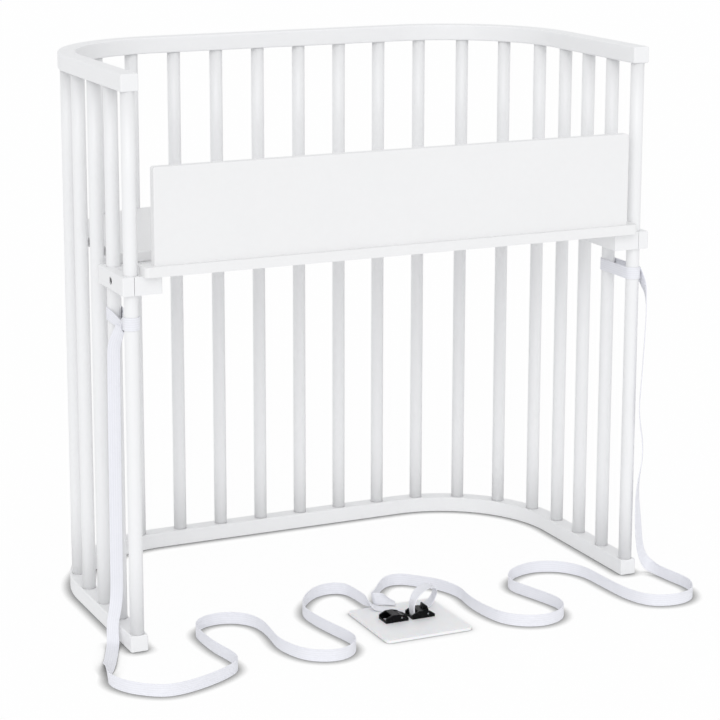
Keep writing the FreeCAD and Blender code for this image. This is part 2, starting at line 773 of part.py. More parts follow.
def webbing_section(place, heading, wide):
    """Rectangle of webbing across a heading."""
    across = (wide - heading * wide.dot(heading)).normalize() * (webbing_width / 2)
    through = heading.cross(across).normalize() * (webbing_thickness / 2)
    corners = [across + through, across - through, -across - through, -across + through]
    corners = [place + corner for corner in corners]
    return Part.makePolygon(corners + [corners[0]])


def webbing_along(name, route):
    """A band of webbing along a route; prints its tightest radius, length and volume."""
    points = [Vector(x, rail_front + y, z) for x, y, z, wide in route]
    wides = [Vector(wide).normalize() for x, y, z, wide in route]
    stations, radii = rounded_route(points)
    sections = []
    length = 0.0
    for before, after in zip(stations, stations[1:]):
        run = after[0] - before[0]
        length += run.Length
        twist = wide_at(wides, before[2]).getAngle(wide_at(wides, after[2]))
        steps = max(1, math.ceil(twist / bend_step))
        for step in range(steps):
            share = step / steps
            wide = wide_at(wides, before[2] * (1 - share) + after[2] * share)
            heading = before[1] * (1 - share) + after[1] * share
            sections.append(webbing_section(before[0] + run * share, heading.normalize(), wide))
    place, heading, along = stations[-1]
    sections.append(webbing_section(place, heading, wide_at(wides, along)))
    band = Part.makeLoft(sections, True, True)
    plain_volume = webbing_width * webbing_thickness * length
    print("%s: length %.0f, tightest radius %.1f, volume %.3f of width x thickness x length"
          % (name, length, min(radii), band.Volume / plain_volume))
    return band


def make_webbing():
    right_end = slat_count + 1
    export("strap_loop_left", [webbing_loop(0, 1, left_loop_height)])
    export("strap_loop_right", [webbing_loop(right_end, slat_count, right_loop_height)])
    export("strap_left", [webbing_along("strap_left", LEFT_STRAP)])
    export("strap_right", [webbing_along("strap_right", RIGHT_STRAP)])
    export("buckle_loop_right", [webbing_along("buckle_loop_right", BUCKLE_LOOP)])


# ---- anchor plate and buckles ----
# A buckle is made along +x from its window end, with its underside at z = 0 and y = 0 midway.
def side_prism(outline, low_y, high_y):
    """A solid whose outline is given in x and z, between two y places."""
    points = [Vector(x, low_y, z) for x, z in outline]
    face = Part.Face(Part.makePolygon(points + [points[0]]))
    return face.extrude(Vector(0, high_y - low_y, 0))


def buckle_frame():
    half = buckle_width / 2
    hood_start = end_bar_width + window_length
    hood_end = hood_start + hood_width
    base = box(0, buckle_length, -half, half, 0, buckle_base)
    window = box(end_bar_width, hood_start, cheek_thickness - half, half - cheek_thickness,
                 -cut_beyond, buckle_base + cut_beyond)
    cheek_outline = [(0, 0), (buckle_length, 0), (buckle_length, mouth_height),
                     (lever_pivot_from_window_end + lever_hub_radius,
                      lever_pivot_height + lever_hub_radius),
                     (hood_end, hood_height), (hood_start, hood_height), (0, cheek_end_height)]
    frame = base.cut(window)
    for side in (-1, 1):
        edges = sorted((side * half, side * (half - cheek_thickness)))
        frame = frame.fuse(side_prism(cheek_outline, edges[0], edges[1]))
    end_bar = box(0, end_bar_width, -half, half, 0, end_bar_height)
    hood_under = hood_height - hood_thickness
    hood = side_prism([(hood_start, hood_height), (hood_end, hood_height),
                       (hood_end, hood_under), (hood_start, hood_under)], -half, half)
    frame = frame.fuse([end_bar, hood]).removeSplitter()
    return frame.cut(pin(pin_fit / 2, cut_beyond))


def pin(fit, beyond):
    reach = buckle_width / 2 + beyond
    start = Vector(lever_pivot_from_window_end, -reach, lever_pivot_height)
    return rod(pin_diameter + fit, start, start + Vector(0, 2 * reach, 0))


def lever(opening):
    """Clamping lever, turned up by opening degrees about its pin."""
    half = buckle_width / 2 - cheek_thickness - lever_side_gap
    pivot = Vector(lever_pivot_from_window_end, 0, lever_pivot_height)
    hub = rod(2 * lever_hub_radius, pivot - Vector(0, half, 0), pivot + Vector(0, half, 0))
    tip_x = buckle_length
    hub_top = lever_pivot_height + lever_hub_radius
    under = lever_pivot_height - lever_hub_radius
    tail = side_prism([(lever_pivot_from_window_end, hub_top),
                       (tip_x, mouth_height + lever_tail_height),
                       (tip_x, mouth_height),
                       (lever_pivot_from_window_end, under)], -half, half)
    body = hub.fuse(tail).removeSplitter().cut(pin(pin_fit, cut_beyond))
    body.rotate(pivot, Vector(0, -1, 0), opening)
    return body


def at_buckle(solid, place):
    placed = solid.copy()
    placed.translate(Vector(place[0], rail_front + place[1], plate_thickness))
    return placed


def make_anchor():
    half = plate_width / 2
    low_y = plate_middle_y - plate_depth / 2
    plate = box(-half, half, low_y, low_y + plate_depth, 0, plate_thickness)
    plate = round_edges(plate, plate_corner_round, is_upright)
    export("anchor_plate", [plate])
    pins = []
    for side, place, opening in (("left", left_buckle_place, 0.0),
                                 ("right", right_buckle_place, right_lever_open)):
        export("buckle_%s_frame" % side, [at_buckle(buckle_frame(), place)])
        export("buckle_%s_lever" % side, [at_buckle(lever(opening), place)])
        pins.append(at_buckle(pin(0.0, 0.0), place))
    export("buckle_pins", pins)


os.makedirs("parts", exist_ok=True)
make_rails()
make_slats()
board_screw_bores = make_bed()
ledge_screw_bores = make_front()
make_clamps(board_screw_bores + ledge_screw_bores + beam_dowels(dowel_fit))
make_webbing()
make_anchor()
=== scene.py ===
"""Bedside sleeper crib: the looks of its wood, webbing, anchor plate and buckles.

Sizes are in metres in the part's own frame: +Z is up, the open front faces -Y, and the origin is
on the floor under the middle of the crib.
"""

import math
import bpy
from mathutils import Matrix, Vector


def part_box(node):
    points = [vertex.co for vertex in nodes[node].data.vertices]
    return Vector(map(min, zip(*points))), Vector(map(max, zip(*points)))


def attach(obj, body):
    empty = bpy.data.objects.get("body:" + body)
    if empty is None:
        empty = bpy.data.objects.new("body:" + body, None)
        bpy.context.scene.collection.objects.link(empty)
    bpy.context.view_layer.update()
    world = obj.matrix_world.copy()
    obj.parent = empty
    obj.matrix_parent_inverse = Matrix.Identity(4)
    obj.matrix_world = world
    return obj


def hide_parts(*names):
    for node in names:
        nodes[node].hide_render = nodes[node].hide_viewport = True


bl_info = {
    "name": "Bedside Sleeper Crib",
    "version": (1, 0, 0),
    "blender": (4, 5, 0),
    "location": "3D View > Sidebar > Crib",
    "description": "Dresses the crib's rails, slats, boards, webbing and buckles",
    "category": "Object",
}

import bmesh
import bpy
from bpy.props import FloatProperty, FloatVectorProperty, IntProperty, PointerProperty
from mathutils import Vector

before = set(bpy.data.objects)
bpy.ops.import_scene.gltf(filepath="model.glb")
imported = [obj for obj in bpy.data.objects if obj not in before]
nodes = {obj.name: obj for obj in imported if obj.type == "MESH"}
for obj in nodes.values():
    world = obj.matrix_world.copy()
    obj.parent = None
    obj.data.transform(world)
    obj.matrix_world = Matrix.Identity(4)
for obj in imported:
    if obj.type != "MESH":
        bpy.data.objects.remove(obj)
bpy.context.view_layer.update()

MM = 0.001


# ---- sizes read from the frame ----
def low(node):
    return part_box(node)[0]


def high(node):
    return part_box(node)[1]


def middle_of(node):
    return (low(node) + high(node)) / 2


rail_width = high("top_rail_back").y - low("top_rail_back").y
rail_front = low("top_rail_left_bend").y
centre_x = high("top_rail_right_bend").x - rail_width / 2
centre_back = high("top_rail_back").y - rail_width / 2
joint_x = high("top_rail_back").x
bend_radius = centre_x - joint_x
post_middle = middle_of("front_post_left")
slat_pitch = middle_of("slat_01").y - post_middle.y
slat_radius = high("front_post_left").x - post_middle.x
bend_slats = 7
back_slats = 6

# The levers at rest: each one's side, its pin's place along X in mm and how far it is open in
# degrees; then the pins' height in mm, both ends of a lever's top face from its pin, and the share
# of that face that the grip ribs cover.
LEVER_PIVOTS = (("left", -16, 0), ("right", 31, 100))
LEVER_PIVOT_HEIGHT = 10.9
LEVER_TOP = ((0, 3.8), (12, 0.1))
RIBS_FROM = 0.45
RIBS_TO = 0.95
RIB_RADIUS = 0.55 * MM
RIB_END_GAP = 0.8 * MM

# The cross recess of a screw: half its span, half its arm's width, and its two faces from the head.
RECESS_REACH = 2.2 * MM
RECESS_HALF_ARM = 0.55 * MM
RECESS_BELOW = 0.1 * MM
RECESS_DEPTH = 0.15 * MM

# The loops, and the knot in the left one, whose runs are drawn together and hang a little.
LOOP_GAP = 0.3 * MM
LOOP_TURN_STEPS = 20
LOOP_RUN_STEPS = 12
LOOP_PINCH = 0.85
LOOP_DROOP = 12 * MM
LOOP_GATHER = 0.4
KNOT_HALF_ACROSS = 3.6 * MM
KNOT_HALF_HIGH = 8.4 * MM
KNOT_STEPS = 28
KNOT_WIDE = Vector((0.25, 1, 0.2))
KNOT_SHARE = 0.55

# The sewn ends of the right strap: where each crossed box lies along it, from its nearer end, and
# how far its rows lie from the middle line, as a share of the width.
SEWN_AT_START = (14 * MM, 34 * MM)
SEWN_AT_END = (26 * MM, 5 * MM)
SEWN_EDGE = 0.36
STITCH_RADIUS = 0.3 * MM
STITCH_SHARE = 0.4
STITCH_LIFT = 0.05 * MM

# The stage. The camera looks down and to the right by angles in radians, and the lamp shines along
# its direction.
CAMERA_PLACE = (-1.5735, -3.4768, 1.3143)
CAMERA_DOWN = 0.2061
CAMERA_TURN = -0.4264
CAMERA_SHIFT = (0.03, -0.12)
LAMP_DIRECTION = Vector((0.42, 0.84, -0.42))
LAMP_SPREAD = math.radians(50)
SKY_COLOUR = (0.985, 0.99, 1, 1)
FLOOR_REACH = 12.0

# Metals and bare wood, and how many grains a metre the wood shows across and along its length.
# The pins' steel is darker than plain steel: painted shade for pins that sit in the buckles'
# shadow.
SHADED_PIN_STEEL = (0.3, 0.3, 0.31)
# Blackened steel, made darker still as painted shade for the bolts in their holes and for the
# screws' cross recesses.
DARK_STEEL_AND_SHADE = (0.03, 0.03, 0.033)
ZINC_STEEL = (0.58, 0.58, 0.56)
BEECH = (0.62, 0.42, 0.25)
ACROSS_GRAIN = 420
ALONG_GRAIN = 12


# ---- settings that a user would change ----
class CribSizes(bpy.types.PropertyGroup):
    """Sizes of the details that are added to the frame"""

    edge_softness: FloatProperty(
        name="Edge softness", description="Bevel on the sharp edges of the wooden parts",
        default=0.45 * MM, min=0.0, subtype="DISTANCE", unit="LENGTH")
    webbing_width: FloatProperty(
        name="Webbing width", description="Width of the straps and loops",
        default=20 * MM, min=0.0, subtype="DISTANCE", unit="LENGTH")
    webbing_thickness: FloatProperty(
        name="Webbing thickness", description="Thickness of the straps and loops",
        default=1.5 * MM, min=0.0, subtype="DISTANCE", unit="LENGTH")
    yarn_pitch: FloatProperty(
        name="Yarn pitch", description="Distance between the cords that show in the weave",
        default=1.1 * MM, min=0.0, subtype="DISTANCE", unit="LENGTH")
    stitch_pitch: FloatProperty(
        name="Stitch pitch", description="Distance between the stitches that sew a strap",
        default=2.6 * MM, min=0.1 * MM, subtype="DISTANCE", unit="LENGTH")
    lever_ribs: IntProperty(
        name="Lever ribs", description="Grip ribs on each buckle lever",
        default=5, min=2, max=9)


class CribColours(bpy.types.PropertyGroup):
    """Colours of the finishes"""

    lacquer: FloatVectorProperty(
        name="Lacquer", description="Satin lacquer on the rails, slats and clamps",
        default=(0.86, 0.862, 0.868), size=3, min=0.0, max=1.0, subtype="COLOR")
    board: FloatVectorProperty(
        name="Boards", description="Lacquer on the bed board, ledge and front panel",
        default=(0.84, 0.84, 0.842), size=3, min=0.0, max=1.0, subtype="COLOR")
    webbing: FloatVectorProperty(
        name="Webbing", description="Straps and loops",
        default=(0.9, 0.905, 0.955), size=3, min=0.0, max=1.0, subtype="COLOR")
    plate: FloatVectorProperty(
        name="Anchor plate", description="Milky sheet plastic",
        default=(0.9, 0.902, 0.91), size=3, min=0.0, max=1.0, subtype="COLOR")
    buckle: FloatVectorProperty(
        name="Buckles", description="Black moulded plastic",
        default=(0.002, 0.002, 0.0022), size=3, min=0.0, max=1.0, subtype="COLOR")
    floor: FloatVectorProperty(
        name="Floor", description="Pale floor under the crib",
        default=(0.93, 0.93, 0.93), size=3, min=0.0, max=1.0, subtype="COLOR")


class CribStage(bpy.types.PropertyGroup):
    """Camera and light"""

    lens: FloatProperty(
        name="Lens", description="Focal length in millimetres on a 36 mm sensor",
        default=116.56, min=10.0, max=400.0)
    sky_strength: FloatProperty(
        name="Sky", description="Strength of the even light from all round",
        default=0.86, min=0.0, max=2.0)
    key_strength: FloatProperty(
        name="Key", description="Strength of the large soft lamp in front, to the left",
        default=0.8, min=0.0, max=5.0)
    floor_glow: FloatProperty(
        name="Floor glow", description="Share of plain white in the floor that the camera sees",
        default=0.95, min=0.0, max=1.0)
    # Reach and depth of the painted contact shadow that darkens the floor's glow near each piece.
    painted_shadow_reach: FloatProperty(
        name="Contact reach", description="How far the dark line under each piece reaches",
        default=18 * MM, min=0.0, subtype="DISTANCE", unit="LENGTH")
    painted_shadow_depth: FloatProperty(
        name="Contact depth", description="How dark the line under each piece is",
        default=1.7, min=0.0, max=4.0)


# ---- helpers for node trees ----
def put(tree, kind, values=None, **settings):
    """Add a node. Its inputs take numbers, or the sockets that feed them."""
    node = tree.nodes.new(kind)
    for name, value in settings.items():
        setattr(node, name, value)
    for key, value in (values or {}).items():
        if isinstance(value, bpy.types.NodeSocket):
            tree.links.new(value, node.inputs[key])
        else:
            node.inputs[key].default_value = value
    return node


def maths(tree, operation, first, second=0.0, third=0.0):
    """The result of one sum on numbers or sockets."""
    return put(tree, "ShaderNodeMath", {0: first, 1: second, 2: third},
               operation=operation).outputs[0]


def remapped(tree, value, from_low, from_high, to_low, to_high):
    """A value moved from one range to another."""
    return put(tree, "ShaderNodeMapRange",
               {"Value": value, "From Min": from_low, "From Max": from_high,
                "To Min": to_low, "To Max": to_high}).outputs[0]


def new_finish(name):
    """A material with only a surface shader, its tree and that shader."""
    material = bpy.data.materials.new(name)
    material.use_nodes = True
    tree = material.node_tree
    tree.nodes.clear()
    shader = put(tree, "ShaderNodeBsdfPrincipled")
    put(tree, "ShaderNodeOutputMaterial", {"Surface": shader.outputs[0]})
    return material, tree, shader


def bumped(tree, shader, layers):
    """Chain one bump after another; each layer is a height and how deep it is in metres."""
    normal = None
    for height, depth in layers:
        values = {"Height": height, "Distance": depth, "Strength": 1.0}
        if normal is not None:
            values["Normal"] = normal
        normal = put(tree, "ShaderNodeBump", values).outputs[0]
    tree.links.new(normal, shader.inputs["Normal"])


def noise(tree, place, stretch, detail=3.0):
    """Noise whose grains are 1 / stretch metres across on each axis."""
    mapped = put(tree, "ShaderNodeMapping", {"Vector": place, "Scale": stretch}).outputs[0]
    return put(tree, "ShaderNodeTexNoise",
               {"Vector": mapped, "Scale": 1.0, "Detail": detail}).outputs[0]


def tinted(tree, shader, colour, share, amount):
    """Colour that darkens by amount where share is 0."""
    dark = [channel * (1 - amount) for channel in colour]
    mix = put(tree, "ShaderNodeMix", data_type="RGBA")
    tree.links.new(share, mix.inputs[0])
    mix.inputs[6].default_value = (*dark, 1)
    mix.inputs[7].default_value = (*colour, 1)
    tree.links.new(mix.outputs[2], shader.inputs["Base Color"])


# ---- finishes ----
def lacquered(name, colour, stretch, roughness):
    """Satin lacquer: fine spray texture, and the wood's grain faintly through it."""
    material, tree, shader = new_finish(name)
    place = put(tree, "ShaderNodeTexCoord").outputs["Object"]
    grain = noise(tree, place, stretch)
    spray = noise(tree, place, (650, 650, 650), 1.0)
    cloud = noise(tree, place, (9, 9, 9), 2.0)
    tinted(tree, shader, colour, maths(tree, "ADD", maths(tree, "MULTIPLY", grain, 0.6),
                                       maths(tree, "MULTIPLY", cloud, 0.6)), 0.035)
    uneven = remapped(tree, cloud, 0.3, 0.7, roughness - 0.04, roughness + 0.05)
    tree.links.new(uneven, shader.inputs["Roughness"])
    shader.inputs["IOR"].default_value = 1.5
    bumped(tree, shader, [(grain, 0.06 * MM), (spray, 0.035 * MM)])
    return material


def woven(name, colour, yarn_pitch):
    """Narrow webbing: ribs of yarn across the strap, over cords that run along it, and painted
    shade in the grooves between them.
    """
    rib_share = 1.35
    stripe_cords = 3.2
    material, tree, shader = new_finish(name)
    run = put(tree, "ShaderNodeSeparateXYZ",
              {0: put(tree, "ShaderNodeUVMap", uv_map="webbing").outputs[0]})
    across = maths(tree, "DIVIDE", run.outputs[0], yarn_pitch)
    along = maths(tree, "DIVIDE", run.outputs[1], yarn_pitch * rib_share)
    row = maths(tree, "MODULO", maths(tree, "FLOOR", across), 2.0)
    shifted = maths(tree, "ADD", along, maths(tree, "MULTIPLY", row, 0.5))
    cord = maths(tree, "ABSOLUTE", maths(tree, "SINE", maths(tree, "MULTIPLY", across, math.pi)))
    rib = maths(tree, "ABSOLUTE", maths(tree, "SINE", maths(tree, "MULTIPLY", shifted, math.pi)))
    weave = maths(tree, "MULTIPLY", maths(tree, "POWER", cord, 0.6),
                  maths(tree, "POWER", rib, 0.6))
    place = put(tree, "ShaderNodeTexCoord").outputs["Object"]
    stripe = maths(tree, "SINE", maths(tree, "MULTIPLY", across, math.tau / stripe_cords))
    band = maths(tree, "MULTIPLY_ADD", stripe, 0.5, 0.5)
    fuzz = noise(tree, place, (2600, 2600, 2600), 2.0)
    wear = noise(tree, place, (30, 30, 30), 3.0)
    # Painted shade: the colour darkens in the grooves between cords and ribs and along the
    # lengthwise bands, where the weave's relief shades itself. Fuzz and wear noise add random tone
    # on top.
    painted_groove_shade = maths(tree, "MULTIPLY_ADD", weave, 0.35, maths(tree, "MULTIPLY", band, 0.35))
    shade = maths(tree, "ADD", painted_groove_shade,
                  maths(tree, "MULTIPLY", maths(tree, "ADD", fuzz, wear), 0.25))
    tinted(tree, shader, colour, shade, 0.13)
    shader.inputs["Roughness"].default_value = 0.85
    shader.inputs["Specular IOR Level"].default_value = 0.25
    shader.inputs["Sheen Weight"].default_value = 0.25
    shader.inputs["Sheen Roughness"].default_value = 0.5
    bumped(tree, shader, [(band, 0.08 * MM), (weave, 0.2 * MM), (fuzz, 0.05 * MM)])
    return material


def moulded(name, colour, roughness, texture_depth, glow_through=0.0, shine=0.5):
    """Moulded plastic with a fine spark-eroded texture."""
    material, tree, shader = new_finish(name)
    place = put(tree, "ShaderNodeTexCoord").outputs["Object"]
    texture = noise(tree, place, (1400, 1400, 1400), 2.0)
    cloud = noise(tree, place, (40, 40, 40), 3.0)
    tinted(tree, shader, colour, cloud, 0.06)
    tree.links.new(remapped(tree, cloud, 0.3, 0.7, roughness - 0.05, roughness + 0.07),
                   shader.inputs["Roughness"])
    shader.inputs["Specular IOR Level"].default_value = shine
    shader.inputs["Subsurface Weight"].default_value = glow_through
    shader.inputs["Subsurface Scale"].default_value = 3 * MM
    bumped(tree, shader, [(texture, texture_depth)])
    return material


def metallic(name, colour, roughness):
    """Turned and plated steel: fine rings and slight blotches."""
    material, tree, shader = new_finish(name)
    place = put(tree, "ShaderNodeTexCoord").outputs["Object"]
    brushing = noise(tree, place, (900, 2500, 900), 2.0)
    cloud = noise(tree, place, (160, 160, 160), 3.0)
    tinted(tree, shader, colour, cloud, 0.18)
    shader.inputs["Metallic"].default_value = 1.0
    tree.links.new(remapped(tree, brushing, 0.3, 0.7, roughness - 0.06, roughness + 0.1),
                   shader.inputs["Roughness"])
    bumped(tree, shader, [(brushing, 0.02 * MM)])
    return material


def bare_beech(name):
    """Unpainted beech: long grain with short flecks."""
    material, tree, shader = new_finish(name)
    place = put(tree, "ShaderNodeTexCoord").outputs["Object"]
    grain = noise(tree, place, (60, 900, 900), 4.0)
    flecks = noise(tree, place, (220, 2400, 2400), 1.0)
    tinted(tree, shader, BEECH,
           maths(tree, "MULTIPLY", maths(tree, "ADD", grain, flecks), 0.6), 0.35)
    shader.inputs["Roughness"].default_value = 0.7
    bumped(tree, shader, [(grain, 0.1 * MM)])
    return material


finishes = {}


def finish(name):
    """The finish of that name, made when it is first asked for."""
    colours = bpy.context.scene.crib_colours
    sizes = bpy.context.scene.crib_sizes
    stretch = [ALONG_GRAIN if name.endswith(axis) else ACROSS_GRAIN for axis in "xyz"]
    makers = {
        **dict.fromkeys(("lacquer_along_x", "lacquer_along_y", "lacquer_along_z"),
                        lambda: lacquered(name, colours.lacquer, stretch, 0.34)),
        "lacquered_board": lambda: lacquered(name, colours.board, (90, 90, 90), 0.38),
        "webbing": lambda: woven(name, colours.webbing, sizes.yarn_pitch),
        "sewing_thread": lambda: moulded(name, colours.webbing, 0.7, 0.05 * MM),
        "plate_plastic": lambda: moulded(name, colours.plate, 0.42, 0.03 * MM, 0.12),
        "black_plastic": lambda: moulded(name, colours.buckle, 0.26, 0.03 * MM, shine=0.12),
        "pin_steel": lambda: metallic(name, SHADED_PIN_STEEL, 0.3),
        "dark_steel": lambda: metallic(name, DARK_STEEL_AND_SHADE, 0.45),
        "zinc_steel": lambda: metallic(name, ZINC_STEEL, 0.3),
        "beech": lambda: bare_beech(name),
    }
    if name not in finishes:
        finishes[name] = makers[name]()
    return finishes[name]


# ---- helpers for pieces ----
def add_piece(name, mesh, finish_name, body):
    """A new visible piece with its finish, which rides on a body."""
    piece = bpy.data.objects.new(name, mesh)
    bpy.context.scene.collection.objects.link(piece)
    mesh.materials.clear()
    mesh.materials.append(finish(finish_name))
    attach(piece, body)
    return piece


def paint(node, finish_name):
    """Give a CAD node that stays as it is its finish."""
    nodes[node].data.materials.clear()
    nodes[node].data.materials.append(finish(finish_name))


def softened(node, finish_name, body):
    """A copy of a CAD node with a fine bevel on its sharp edges, in place of the node."""
    mesh = nodes[node].data.copy()
    work = bmesh.new()
    work.from_mesh(mesh)
    bmesh.ops.remove_doubles(work, verts=work.verts, dist=MM / 1000)
    bmesh.ops.dissolve_limit(work, angle_limit=math.radians(0.3), verts=work.verts,
                             edges=work.edges)
    work.to_mesh(mesh)
    work.free()
    mesh.shade_smooth()
    piece = add_piece(node + "_finished", mesh, finish_name, body)
    edge = piece.modifiers.new("soft edges", "BEVEL")
    edge.width = bpy.context.scene.crib_sizes.edge_softness
    edge.segments = 2
    edge.limit_method = "ANGLE"
    edge.angle_limit = math.radians(35)
    edge.use_clamp_overlap = True
    flat = piece.modifiers.new("flat faces", "WEIGHTED_NORMAL")
    flat.keep_sharp = True
    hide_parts(node)


def grown(name, points, edges, tree, values, headings=None):
    """Run a Geometry Nodes tree on points and edges, and keep its result as a plain mesh."""
    line = bpy.data.meshes.new(name + "_line")
    line.from_pydata(points, edges, [])
    if headings is not None:
        heading = line.attributes.new("heading", "FLOAT_VECTOR", "POINT")
        heading.data.foreach_set("vector", [value for vector in headings for value in vector])
    holder = bpy.data.objects.new(name + "_line", line)
    bpy.context.scene.collection.objects.link(holder)
    modifier = holder.modifiers.new("build", "NODES")
    modifier.node_group = tree
    for item in tree.interface.items_tree:
        if item.name in values:
            modifier[item.identifier] = values[item.name]
    graph = bpy.context.evaluated_depsgraph_get()
    mesh = bpy.data.meshes.new_from_object(holder.evaluated_get(graph))
    bpy.data.objects.remove(holder)
    bpy.data.meshes.remove(line)
    return mesh


def new_tree(name, inputs):
    """A Geometry Nodes tree with named inputs; gives the tree and its input sockets."""
    tree = bpy.data.node_groups.new(name, "GeometryNodeTree")
    tree.interface.new_socket("Geometry", in_out="INPUT", socket_type="NodeSocketGeometry")
    tree.interface.new_socket("Geometry", in_out="OUTPUT", socket_type="NodeSocketGeometry")
    for label, kind in inputs:
        tree.interface.new_socket(label, in_out="INPUT", socket_type="NodeSocket" + kind)
    return tree, tree.nodes.new("NodeGroupInput").outputs


def end_tree(tree, instances, material):
    """Realize Instances, smooth shading and Set Material at the end of a tree."""
    real = put(tree, "GeometryNodeRealizeInstances", {0: instances}).outputs[0]
    smooth = put(tree, "GeometryNodeSetShadeSmooth", {0: real}).outputs[0]
    painted = put(tree, "GeometryNodeSetMaterial", {0: smooth, "Material": material}).outputs[0]
    put(tree, "NodeGroupOutput", {0: painted})


def bar_tree():
    """Round bars at equal steps along a line whose corners are rounded."""
    tree, given = new_tree("Round bars along the rail", [
        ("Bend Radius", "Float"), ("Setback", "Float"), ("Pitch", "Float"),
        ("Bars", "Int"), ("Radius", "Float"), ("Low", "Float"), ("High", "Float"),
        ("Material", "Material")])
    line = put(tree, "GeometryNodeMeshToCurve", {0: given["Geometry"]}).outputs[0]
    round_line = put(tree, "GeometryNodeFilletCurve",
                     {"Curve": line, "Radius": given["Bend Radius"], "Count": 64},
                     mode="POLY").outputs[0]
    last = maths(tree, "SUBTRACT", given["Bars"], 1.0)
    end = maths(tree, "MULTIPLY_ADD", last, given["Pitch"], given["Setback"])
    trimmed = put(tree, "GeometryNodeTrimCurve", mode="LENGTH")
    tree.links.new(round_line, trimmed.inputs[0])
    tree.links.new(given["Setback"], trimmed.inputs[4])
    tree.links.new(end, trimmed.inputs[5])
    places = put(tree, "GeometryNodeResampleCurve",
                 {"Curve": trimmed.outputs[0], "Count": given["Bars"]}).outputs[0]
    depth = maths(tree, "SUBTRACT", given["High"], given["Low"])
    bar = put(tree, "GeometryNodeMeshCylinder",
              {"Vertices": 48, "Side Segments": 6, "Radius": given["Radius"],
               "Depth": depth}).outputs[0]
    middle = maths(tree, "MULTIPLY", maths(tree, "ADD", given["High"], given["Low"]), 0.5)
    lift = put(tree, "ShaderNodeCombineXYZ", {"Z": middle}).outputs[0]
    raised = put(tree, "GeometryNodeTransform", {0: bar, "Translation": lift}).outputs[0]
    bars = put(tree, "GeometryNodeInstanceOnPoints", {0: places, "Instance": raised}).outputs[0]
    end_tree(tree, bars, given["Material"])
    return tree


def copies_tree():
    """Copies of one object at points, each turned to its point's heading."""
    tree, given = new_tree("Copies at points", [("Copied", "Object"), ("Material", "Material")])
    copied = put(tree, "GeometryNodeObjectInfo", {"Object": given["Copied"]}).outputs["Geometry"]
    heading = put(tree, "GeometryNodeInputNamedAttribute", {"Name": "heading"},
                  data_type="FLOAT_VECTOR").outputs[0]
    turn = put(tree, "FunctionNodeAlignRotationToVector", {"Vector": heading},
               axis="Z").outputs[0]
    points = put(tree, "GeometryNodeMeshToPoints", {0: given["Geometry"]}).outputs[0]
    copies = put(tree, "GeometryNodeInstanceOnPoints",
                 {0: points, "Instance": copied, "Rotation": turn}).outputs[0]
    end_tree(tree, copies, given["Material"])
    return tree


def copied(name, spots, headings, part, finish_name):
    """A mesh with a copy of the part at each spot, its own Z turned to that spot's heading."""
    holder = bpy.data.objects.new(name + "_part", part)
    bpy.context.scene.collection.objects.link(holder)
    values = {"Copied": holder, "Material": finish(finish_name)}
    mesh = grown(name, spots, [], copies_tree(), values, headings)
    bpy.data.objects.remove(holder)
    return mesh


def rounded_pin(name, radius, half_length):
    """A rod along Z with rounded ends."""
    mesh = bpy.data.meshes.new(name)
    work = bmesh.new()
    bmesh.ops.create_uvsphere(work, u_segments=10, v_segments=8, radius=radius)
    for vertex in work.verts:
        vertex.co.z += math.copysign(half_length - radius, vertex.co.z) if vertex.co.z else 0
    work.to_mesh(mesh)
    work.free()
    return mesh


def cross_mesh():
    """The cross recess of a screw head, as a thin plate along Z whose dark finish is painted shade.
    """
    arm, half = RECESS_REACH, RECESS_HALF_ARM
    outline = [(arm, -half), (arm, half), (half, half), (half, arm), (-half, arm), (-half, half),
               (-arm, half), (-arm, -half), (-half, -half), (-half, -arm), (half, -arm),
               (half, -half)]
    mesh = bpy.data.meshes.new("cross recess")
    work = bmesh.new()
    face = work.faces.new([work.verts.new((x, y, -RECESS_BELOW)) for x, y in outline])
    raised = bmesh.ops.extrude_face_region(work, geom=[face])["geom"]
    bmesh.ops.translate(work, vec=(0, 0, RECESS_DEPTH),
                        verts=[item for item in raised if isinstance(item, bmesh.types.BMVert)])
    bmesh.ops.recalc_face_normals(work, faces=work.faces)
    work.to_mesh(mesh)
    work.free()
    return mesh


def loose_middles(node):
    """The middle of each separate piece in a CAD node."""
    work = bmesh.new()
    work.from_mesh(nodes[node].data)
    bmesh.ops.remove_doubles(work, verts=work.verts, dist=MM / 1000)
    left = set(work.verts)
    middles = []
    while left:
        group, front = set(), [left.pop()]
        while front:
            vertex = front.pop()
            group.add(vertex)
            for edge in vertex.link_edges:
                other = edge.other_vert(vertex)
                if other in left:
                    left.remove(other)
                    front.append(other)
        places = [vertex.co for vertex in group]
        middles.append(Vector([(min(values) + max(values)) / 2 for values in zip(*places)]))
    work.free()
    return sorted(middles, key=tuple)


# ---- the straps' routes ----
# Each point is millimetres to the right, behind the rails' front ends, and up, then the direction
# in which the webbing is wide there.
UPRIGHT = (0, 0, 1)

